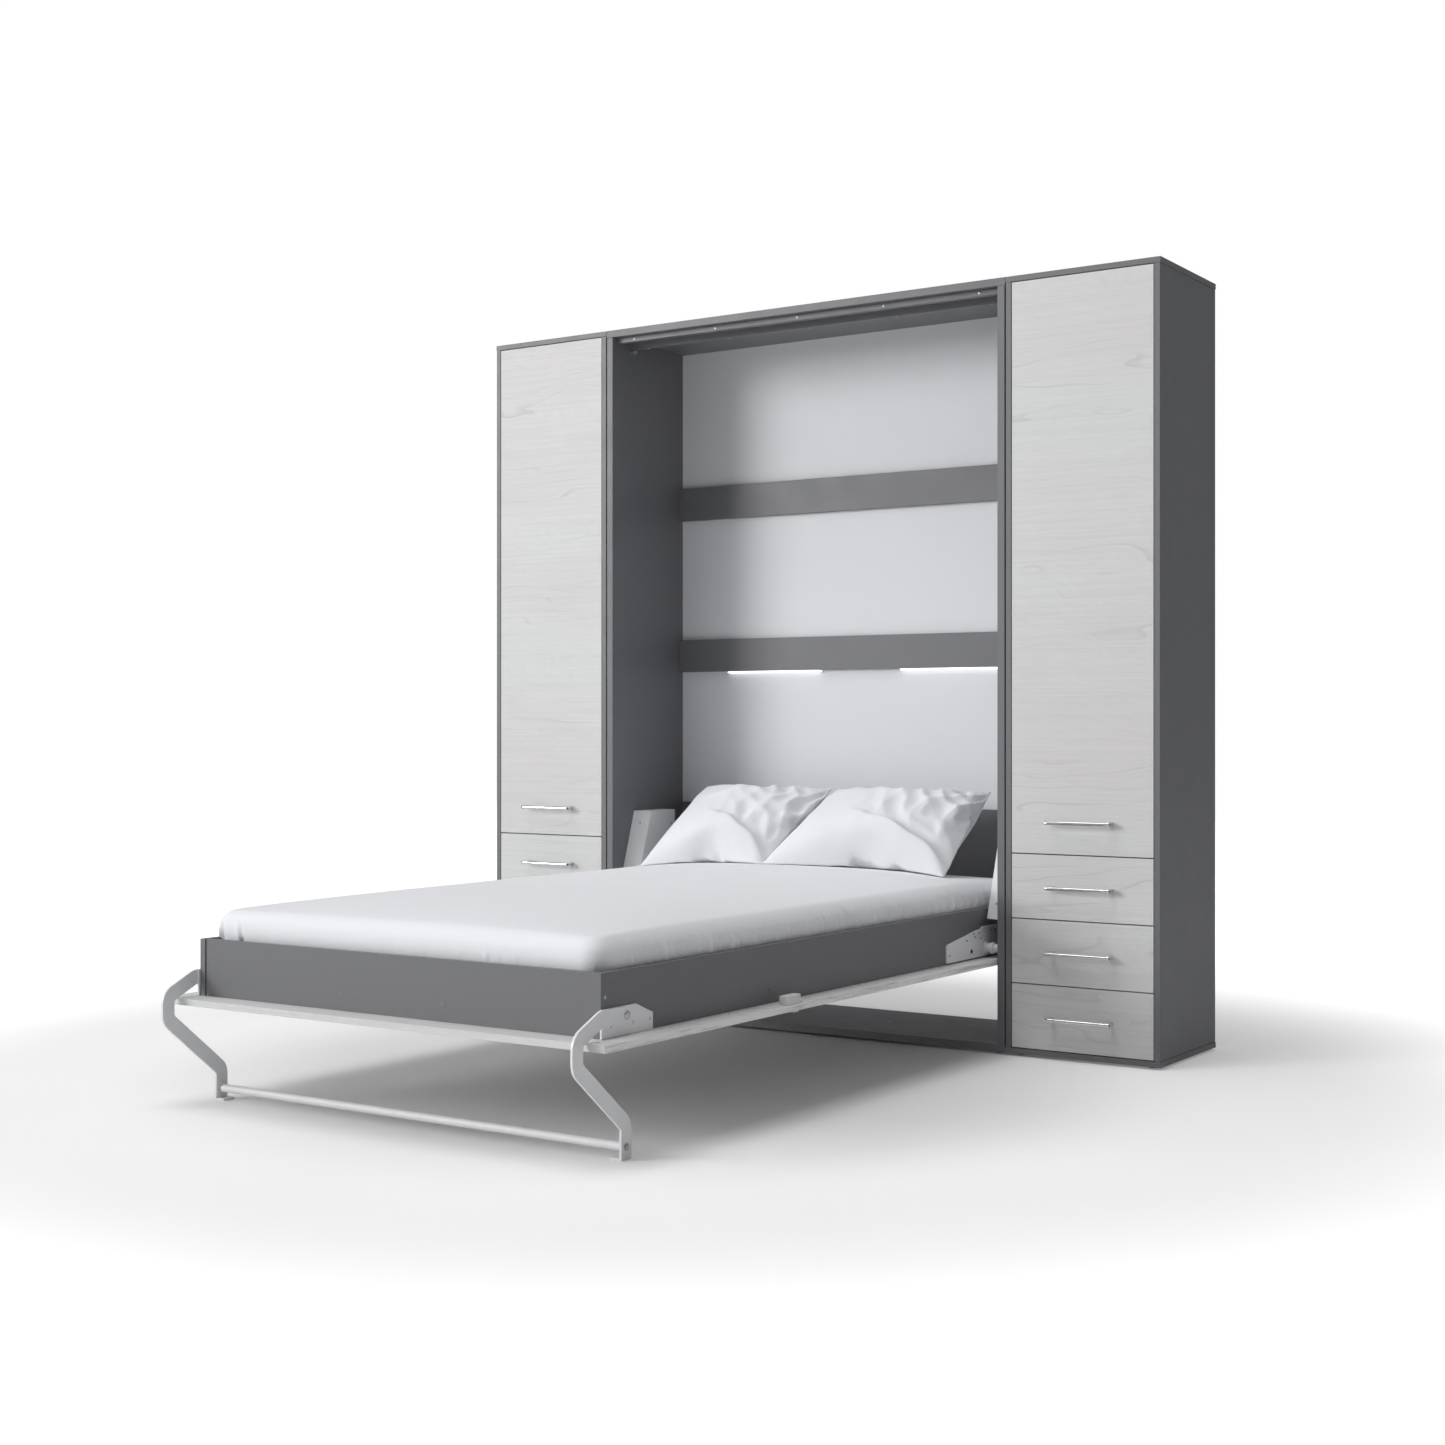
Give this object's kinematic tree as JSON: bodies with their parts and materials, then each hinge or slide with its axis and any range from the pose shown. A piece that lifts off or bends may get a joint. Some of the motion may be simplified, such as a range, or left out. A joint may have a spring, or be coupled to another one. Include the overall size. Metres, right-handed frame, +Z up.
{
  "type": "murphy wall bed",
  "caption": "Vertical wall bed that folds out of a tall niche onto a flip-over leg frame, with a cabinet of a door over drawers on each side.",
  "frame": {"origin": "on the floor, at the middle of the outline with the bed open", "axes": "+X to the right seen from the front, +Y towards the wall, +Z up"},
  "size_m": [2.326, 2.2915, 2.19],
  "materials": {
    "grey_board": "anthracite grey laminate, satin",
    "pale_oak": "whitewashed oak laminate with horizontal grain",
    "white_board": "thin white lacquered back board",
    "slat": "plain birch",
    "grey_metal": "light grey powder coat",
    "strut": "black gloss",
    "handle_steel": "polished",
    "cotton": "white cotton, matt",
    "lamp": "opal diffuser, lit"
  },
  "bodies": {
    "carcass": {"bed_unit_back": "white_board", "bed_unit_bottom": "grey_board", "bed_unit_side_left": "grey_board", "bed_unit_side_right": "grey_board", "bed_unit_top": "grey_board", "gas_strut_left": "strut", "gas_strut_right": "strut", "headboard_rail": "grey_board", "led_strip_left": "lamp", "led_strip_right": "lamp", "left_cabinet_back": "grey_board", "left_cabinet_bottom": "grey_board", "left_cabinet_inner_side": "grey_board", "left_cabinet_outer_side": "grey_board", "left_cabinet_shelf": "grey_board", "left_cabinet_top": "grey_board", "light_rail": "grey_board", "panel_stop_strip": "grey_board", "rear_strip": "grey_board", "right_cabinet_back": "grey_board", "right_cabinet_bottom": "grey_board", "right_cabinet_inner_side": "grey_board", "right_cabinet_outer_side": "grey_board", "right_cabinet_shelf": "grey_board", "right_cabinet_top": "grey_board", "spring_cover_left": "grey_metal", "spring_cover_right": "grey_metal", "upper_rail": "grey_board"},
    "bed": {"bed_front_panel": "pale_oak", "bed_frame_side_left": "grey_board", "bed_frame_side_right": "grey_board", "bed_foot_board": "grey_board", "bed_head_board": "grey_board", "slat_base": "slat", "mattress": "cotton", "pillow_left": "cotton", "pillow_right": "cotton", "hinge_plate_left": "grey_metal", "hinge_plate_right": "grey_metal", "leg_plate_left": "grey_metal", "leg_plate_right": "grey_metal"},
    "leg_frame": {"leg_left": "grey_metal", "leg_right": "grey_metal", "leg_crossbar": "grey_metal"},
    "left_door": {"left_door": "pale_oak", "left_door_handle": "handle_steel"},
    "left_bottom_drawer": {"left_bottom_drawer": "pale_oak", "left_bottom_drawer_handle": "handle_steel"},
    "left_middle_drawer": {"left_middle_drawer": "pale_oak", "left_middle_drawer_handle": "handle_steel"},
    "left_top_drawer": {"left_top_drawer": "pale_oak", "left_top_drawer_handle": "handle_steel"},
    "right_door": {"right_door": "pale_oak", "right_door_handle": "handle_steel"},
    "right_bottom_drawer": {"right_bottom_drawer": "pale_oak", "right_bottom_drawer_handle": "handle_steel"},
    "right_middle_drawer": {"right_middle_drawer": "pale_oak", "right_middle_drawer_handle": "handle_steel"},
    "right_top_drawer": {"right_top_drawer": "pale_oak", "right_top_drawer_handle": "handle_steel"}
  },
  "joints": [
    {"name": "bed_fold", "type": "hinge", "parent": "carcass", "child": "bed", "pos_m": [0, 0.76875, 0.293], "axis": [-1, 0, 0], "range_deg": [0, 90], "deforming": ["pillow_left", "pillow_right"]},
    {"name": "leg_fold", "type": "hinge", "parent": "bed", "child": "leg_frame", "pos_m": [0, -0.95725, 0.31], "axis": [-1, 0, 0], "range_deg": [0, 190]},
    {"name": "left_door_swing", "type": "hinge", "parent": "carcass", "child": "left_door", "pos_m": [-1.1425, 0.72575, 0.5706], "axis": [0, 0, -1], "range_deg": [0, 105]},
    {"name": "left_bottom_drawer_slide", "type": "slide", "parent": "carcass", "child": "left_bottom_drawer", "axis": [0, -1, 0], "range_m": [0, 0.28]},
    {"name": "left_middle_drawer_slide", "type": "slide", "parent": "carcass", "child": "left_middle_drawer", "axis": [0, -1, 0], "range_m": [0, 0.28]},
    {"name": "left_top_drawer_slide", "type": "slide", "parent": "carcass", "child": "left_top_drawer", "axis": [0, -1, 0], "range_m": [0, 0.28]},
    {"name": "right_door_swing", "type": "hinge", "parent": "carcass", "child": "right_door", "pos_m": [1.1425, 0.72575, 0.5706], "axis": [0, 0, 1], "range_deg": [0, 105]},
    {"name": "right_bottom_drawer_slide", "type": "slide", "parent": "carcass", "child": "right_bottom_drawer", "axis": [0, -1, 0], "range_m": [0, 0.28]},
    {"name": "right_middle_drawer_slide", "type": "slide", "parent": "carcass", "child": "right_middle_drawer", "axis": [0, -1, 0], "range_m": [0, 0.28]},
    {"name": "right_top_drawer_slide", "type": "slide", "parent": "carcass", "child": "right_top_drawer", "axis": [0, -1, 0], "range_m": [0, 0.28]}
  ],
  "couplings": [
    {"joint": "leg_fold", "follows": "bed_fold", "ratio": 2.1}
  ]
}
